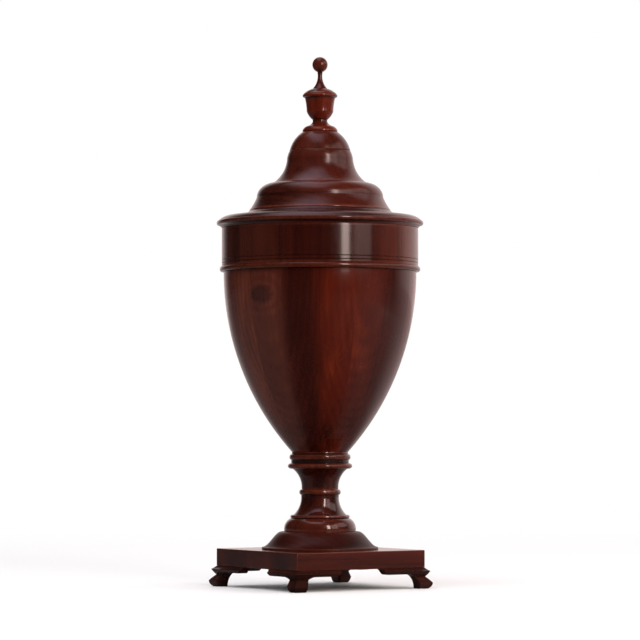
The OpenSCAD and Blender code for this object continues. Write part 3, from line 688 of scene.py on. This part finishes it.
# bowl: sixteen staves, each a board of its own
stavePlan = {"count": 16, "steps": 8, "longest": 0.004, "smooth": 30, "moveEach": (0.37, 0.23, 0.11),
             "turnEach": 40}
staveWood = {
    "deep": {"tones": deepTones, "figure": 0.7},
    "red": {"tones": redTones, "figure": 0.7, "shift": 0.08},
    "glow": {"tones": glowTones, "figure": 0.7},
    "brown": {"tones": brownTones, "figure": 0.6, "shift": 0.04},
}
staveOrder = ["glow", "red", "deep", "brown", "glow", "deep", "red", "red", "brown", "brown", "deep", "glow",
              "red", "deep", "red", "brown"]
staveKnots = {10: {"angle": 199.4, "out": 0.1115, "height": 0.339, "wide": 0.017, "tall": 0.0115,
                   "tone": tint(40, 20, 16)}}
half = 180.0 / stavePlan["count"]
for i, kind in enumerate(staveOrder):
    node = "bowl_stave_%02d" % (i + 1)
    name = "bowlStave%02d" % (i + 1)
    middle = 2 * half * i
    piece = mergedCopy(node, name)
    halfSection(piece, middle)
    divideRuns(piece, stavePlan["longest"])
    bpy.ops.mesh.select_all(action="SELECT")
    bpy.ops.transform.rotate(value=math.radians(half), orient_axis="Z", center_override=(0, 0, 0))
    mesh = bmesh.from_edit_mesh(piece.data)
    mesh.verts.ensure_lookup_table()
    first = math.degrees(math.atan2(mesh.verts[0].co.y, mesh.verts[0].co.x))
    sweep = -2 * half if (first - middle + 540) % 360 - 180 < 0 else 2 * half  # spin turns clockwise
    bpy.ops.mesh.spin(steps=stavePlan["steps"], angle=math.radians(sweep), center=(0, 0, 0), axis=(0, 0, 1))
    mergeDoubles()
    pick(piece, lambda e: e.is_boundary, "edges")
    bpy.ops.mesh.fill_holes(sides=0)
    closeUp(piece, stavePlan["smooth"])
    piece.data.attributes.new("edge", "FLOAT", "POINT")
    beside = {"angle": middle, "half": half, "last": staveWood[staveOrder[i - 1]]["tones"],
              "next": staveWood[staveOrder[(i + 1) % stavePlan["count"]]]["tones"]}
    material = polishedWood(name + "Wood", at=tuple(m * i for m in stavePlan["moveEach"]),
                            turn=(0, 0, stavePlan["turnEach"] * i), knot=staveKnots.get(i + 1),
                            beside=beside, **staveWood[kind])
    finish(piece, material, bareWood)
    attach(piece, "urn")
    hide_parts(node)
print("bowl staves made")


# plinth and feet
plinthWood = {"tones": redTones, "at": (0.2, 0.4, 0.3), "turn": (0, 90, 0), "figure": 0.8, "shift": -0.12}
piece = easedPiece("plinth", "plinthBoard", "urn", softness["plinth"])
finish(piece, polishedWood("plinthWood", **plinthWood))

bracketWood = {"tones": footTones, "figure": 0.8, "gloss": 0.26, "shift": -0.12}
bracketMove = (0.3, 0.17, 0.2)  # each board is cut from its own place in the wood
for corner in ("front_left", "front_right", "back_left", "back_right"):
    for k, side in enumerate(("face", "return")):
        node = "foot_%s_%s" % (corner, side)
        name = "foot" + "".join(w.capitalize() for w in (corner + "_" + side).split("_"))
        piece = easedPiece(node, name, "urn", softness["foot"])
        place = (bracketMove[0] * k, bracketMove[1] * len(node), bracketMove[2])
        finish(piece, polishedWood(name + "Wood", at=place, turn=(0, 90, 90 * k), **bracketWood))
print("plinth and feet eased")


# inside: lip, stem, decks, hoop, guide and brass
lipWood = {"tones": deepTones, "at": (0.4, 0.4, 0.1), "turn": (90, 0, 10)}
piece = turnedPiece("bowl_lip", "bowlLip", "urn", softness["fine"])
finish(piece, polishedWood("bowlLipWood", **lipWood))

stemWood = {"tones": redTones, "at": (0.7, 0.2, 0.1), "gloss": 0.32, "coat": 0.2}
piece = easedPiece("stem", "liftStem", "lid", softness["stem"])
finish(piece, polishedWood("liftStemWood", **stemWood))

deckWood = {"tones": redTones, "turn": (90, 0, 0), "gloss": 0.32, "coat": 0.3, "shift": 0.1}
deckPieces = {
    "outer_deck": {"name": "outerDeck", "at": (0.1, 0.9, 0.4),
                   "strings": {"slots": 12.0, "middle": 0.079, "rim": 0.0965}},
    "inner_deck": {"name": "innerDeck", "at": (0.6, 0.4, 0.8),
                   "strings": {"slots": 8.0, "middle": 0.043, "rim": 0.0615}},
}
for node, plan in deckPieces.items():
    piece = easedPiece(node, plan["name"], "urn", softness["fine"], segments=2)
    material = polishedWood(plan["name"] + "Wood", at=plan["at"], strings=plan["strings"], **deckWood)
    finish(piece, material)

riserWood = {"tones": redTones, "at": (0.3, 0.2, 0.6), "gloss": 0.32, "coat": 0.3}
piece = turnedPiece("deck_riser", "deckRiser", "urn", softness["fine"])
finish(piece, polishedWood("deckRiserWood", **riserWood))


# brass with old stains, fine lathe rings and bright edges
brassPlan = {"bright": tint(214, 172, 98), "stained": tint(128, 92, 50), "edge": tint(232, 196, 124),
             "stain": 55.0, "stainFrom": (0.42, 0.75), "tarnish": 0.55, "edgeAmount": 0.8, "lathe": 1800.0,
             "rough": 0.16, "latheRough": 0.14, "stainRough": 0.3, "bump": (0.1, 0.0002)}


def brassMaterial(name):
    material, tree, shader = startMaterial(name, Metallic=1.0)
    coord = objectCoord(tree)
    stain = noise(tree, coord, brassPlan["stain"], detail=4.0, rough=0.55)
    reach = vecCalc(tree, "LENGTH", stretch(tree, coord, (1, 1, 0)))
    lathe = noise(tree, addNode(tree, "ShaderNodeCombineXYZ", {"X": reach}).outputs[0], brassPlan["lathe"])
    tarnish = spread(tree, stain, *brassPlan["stainFrom"], 0.0, brassPlan["tarnish"])
    color = mixColor(tree, tarnish, brassPlan["bright"], brassPlan["stained"])
    color = mixColor(tree, times(tree, edgeMark(tree), brassPlan["edgeAmount"]), color, brassPlan["edge"])
    rough = addTo(tree, brassPlan["rough"], lathe, brassPlan["latheRough"])
    rough = addTo(tree, rough, stain, brassPlan["stainRough"])
    setSurface(tree, shader, color, rough, lathe, brassPlan["bump"])
    return material


def dress(material, *names):  # a new finish for CAD nodes that keep their shape
    for node in names:
        for slot in nodes[node].material_slots:
            slot.material = material


brass = brassMaterial("agedBrass")
dress(paleWood, "guide_board_front", "guide_board_back", "guide_board_left", "guide_board_right", "bowl_plug",
      "deck_ledge")
dress(darkBlockWood, "foot_blocks")
dress(brass, "hold_spring", "spring_screws", "stop_peg")
piece = easedPiece("guide_plate", "guidePlate", "urn", softness["fine"], segments=2)
finish(piece, brass)


# round-headed screws with their slots left wherever each screw bit, sizes in metres
screwPlan = {"head": 0.0021, "dome": 0.0007, "domeSteps": 4, "rim": 0.8, "smooth": 40, "slotLong": 0.0084,
             "slotWide": 0.0006, "slotDeep": 0.00045, "leans": (20, 75, 130, 165)}
screws = mergedCopy("plate_screws", "plateScrews")
bpy.ops.mesh.dissolve_limited(angle_limit=math.radians(sawnPlan["flat"]))
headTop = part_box("plate_screws")[1][2]
pick(screws, lambda e: all(v.co.z > headTop - near["loose"] for v in e.verts) and
     e.calc_face_angle(0) > screwPlan["rim"], "edges")
bpy.ops.mesh.bevel(offset=screwPlan["dome"], segments=screwPlan["domeSteps"], affect="EDGES")
closeUp(screws, screwPlan["smooth"])
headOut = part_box("plate_screws")[1][0] - screwPlan["head"]
slotSize = (screwPlan["slotLong"], screwPlan["slotWide"], 2 * screwPlan["slotDeep"])
clearSelection()
cutters = []
for i, lean in enumerate(screwPlan["leans"]):
    a = math.radians(90 * i)
    bpy.ops.mesh.primitive_cube_add(size=1, location=(headOut * math.cos(a), headOut * math.sin(a), headTop),
                                    rotation=(0, 0, math.radians(lean)), scale=slotSize)
    cutters.append(bpy.context.object)
for cutter in cutters:
    cutter.select_set(True)
bpy.ops.object.join()
cutter = bpy.context.object
cut = screws.modifiers.new("screwSlots", "BOOLEAN")
cut.operation, cut.object = "DIFFERENCE", cutter
clearSelection()
bpy.context.view_layer.objects.active = screws
screws.select_set(True)
bpy.ops.object.modifier_apply(modifier=cut.name)
bpy.data.objects.remove(cutter)
finish(screws, brass)
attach(screws, "urn")
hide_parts("plate_screws")
print("inside dressed")


# stage: a pale floor in a room that is dark on the camera's side and pale behind the urn.
# turnsPale, paleFrom and dimFrom are cosines, the reach and the fade are in metres
room = {"darkest": -54.0, "levels": (0.02, 1.0), "turnsPale": (-0.45, -0.85), "backHue": (1.0, 0.82, 0.80, 1),
        "soft": 0.55, "ceiling": 1.6, "ceilingHue": (0.95, 0.82, 1.0, 1), "ceilingFrom": (0.72, 0.93),
        "ceilingLeft": 0.16, "ceilingWide": (0.5, 0.1)}
ground = {"radius": 14.0, "sides": 128, "tone": (0.745, 0.77, 0.765, 1), "fade": (0.1, 2.2),
          "bounce": (0.40, 0.36, 0.34, 1), "dim": (0.03, 0.14), "dimFrom": (0.95, 0.35), "paleBehind": 0.5,
          "paleFrom": (-0.4, -0.85), "paleReach": (0.2, 0.6), "speck": 3.0, "rough": 0.6, "speckRough": 0.1,
          "specular": 0.2}


def sight(tree):  # which rays arrive, whether the camera sees this, and the hue that the polish mirrors
    path = addNode(tree, "ShaderNodeLightPath").outputs
    seen = calc(tree, "ADD", path["Is Camera Ray"], path["Is Transmission Ray"], clamp=True)
    return path, seen, mixColor(tree, path["Is Glossy Ray"], (1, 1, 1, 1), room["backHue"])


def facing(tree, way, angle):
    return vecCalc(tree, "DOT_PRODUCT", way, tuple(towards(angle)))


clearSelection()
bpy.ops.mesh.primitive_circle_add(vertices=ground["sides"], radius=ground["radius"], fill_type="NGON",
                                  location=(0, 0, 0))
floor = bpy.context.object
floor.name = "paleFloor"
material, tree, shader = startMaterial("paleFloorFinish", Specular_IOR_Level=ground["specular"])
coord = objectCoord(tree)
way = vecCalc(tree, "NORMALIZE", coord)
reach = vecCalc(tree, "LENGTH", coord)
path, seen, hue = sight(tree)
speck = noise(tree, coord, ground["speck"], detail=3.0)
give(tree, shader.inputs["Roughness"], addTo(tree, ground["rough"], speck, ground["speckRough"]))
dim = spread(tree, facing(tree, way, picture["turn"]), *ground["dimFrom"], *ground["dim"])
tone = mixColor(tree, path["Is Glossy Ray"], ground["bounce"], dim)  # the polish sees a dim floor
give(tree, shader.inputs["Base Color"], mixColor(tree, path["Is Camera Ray"], tone, ground["tone"]))
behind = spread(tree, facing(tree, way, room["darkest"]), *ground["paleFrom"], 0.0, ground["paleBehind"])
behind = times(tree, behind, spread(tree, reach, *ground["paleReach"]))  # and a pale one behind the urn
shown = calc(tree, "MAXIMUM", times(tree, spread(tree, reach, *ground["fade"]), seen),
             times(tree, behind, path["Is Glossy Ray"]))
glow = addNode(tree, "ShaderNodeEmission", {"Color": hue, "Strength": 1.0})
blendIn = addNode(tree, "ShaderNodeMixShader", {0: shown, 1: shader.outputs[0], 2: glow.outputs[0]})
output = next(n for n in tree.nodes if n.type == "OUTPUT_MATERIAL")
tree.links.new(blendIn.outputs[0], output.inputs["Surface"])
floor.data.materials.append(material)

world = bpy.data.worlds.new("studio")
scene.world = world
world.use_nodes = True
tree = world.node_tree
back = next(n for n in tree.nodes if n.type == "BACKGROUND")
way = addNode(tree, "ShaderNodeTexCoord").outputs["Generated"]
path, seen, hue = sight(tree)
level = spread(tree, facing(tree, way, room["darkest"]), *room["turnsPale"], *room["levels"])
height = addNode(tree, "ShaderNodeSeparateXYZ", {"Vector": way}).outputs["Z"]
aside = calc(tree, "ADD", facing(tree, way, picture["turn"] + 90), room["ceilingLeft"])
sky = times(tree, spread(tree, height, *room["ceilingFrom"]),  # a strip of pale ceiling, a little to the left
            spread(tree, calc(tree, "ABSOLUTE", aside), *room["ceilingWide"]))
level = calc(tree, "MAXIMUM", level, times(tree, sky, room["ceiling"]))
level = calc(tree, "MAXIMUM", level, times(tree, path["Is Diffuse Ray"], room["soft"]))
give(tree, back.inputs["Strength"], calc(tree, "MAXIMUM", level, seen))
mirroredSky = calc(tree, "SUBTRACT", sky, seen, clamp=True)
give(tree, back.inputs["Color"], mixColor(tree, mirroredSky, hue, room["ceilingHue"]))


# lamps: a tall window on the right of the camera, pale walls beyond it, a broad lamp overhead on the left,
# and soft fill from the right and from behind
def lampAt(angle, away, height):
    return towards(angle) * away + Vector((0, 0, height))


lampAim = (0, 0, 0.33)
lamps = {
    "tallWindow": {"at": lampAt(-4, 2.5, 1.22), "size": (0.42, 1.6), "power": 35.0, "mirrored": True,
                   "color": (1.0, 0.77, 0.71)},
    "paleWall": {"at": lampAt(17, 2.5, 1.22), "size": (1.0, 1.6), "power": 11.0, "mirrored": True,
                 "color": (1.0, 0.82, 0.77)},
    "highWall": {"at": lampAt(49, 2.5, 1.70), "size": (2.2, 1.5), "power": 13.0, "mirrored": True,
                 "color": (1.0, 0.86, 0.84)},
    "rightFill": {"at": lampAt(55, 1.9, 0.5), "size": (1.2, 1.2), "power": 23.0, "mirrored": False,
                  "color": (1.0, 0.9, 0.86)},
    "backFill": {"at": lampAt(150, 2.3, 1.1), "size": (1.4, 1.4), "power": 11.0, "mirrored": False,
                 "color": (1.0, 0.92, 0.88)},
    "overhead": {"at": Vector((-1.2, -0.4, 2.2)), "size": (2.4, 2.0), "power": 37.0, "mirrored": False,
                 "color": (1.0, 1.0, 1.0)},
}
for name, lamp in lamps.items():
    clearSelection()
    bpy.ops.object.light_add(type="AREA", location=lamp["at"], rotation=lookFrom(lamp["at"], lampAim))
    light = bpy.context.object
    light.name = light.data.name = name
    light.data.shape = "RECTANGLE"
    light.data.size, light.data.size_y = lamp["size"]
    light.data.energy = lamp["power"]
    light.data.color = lamp["color"]
    light.visible_glossy = lamp["mirrored"]
print("stage and lamps set")
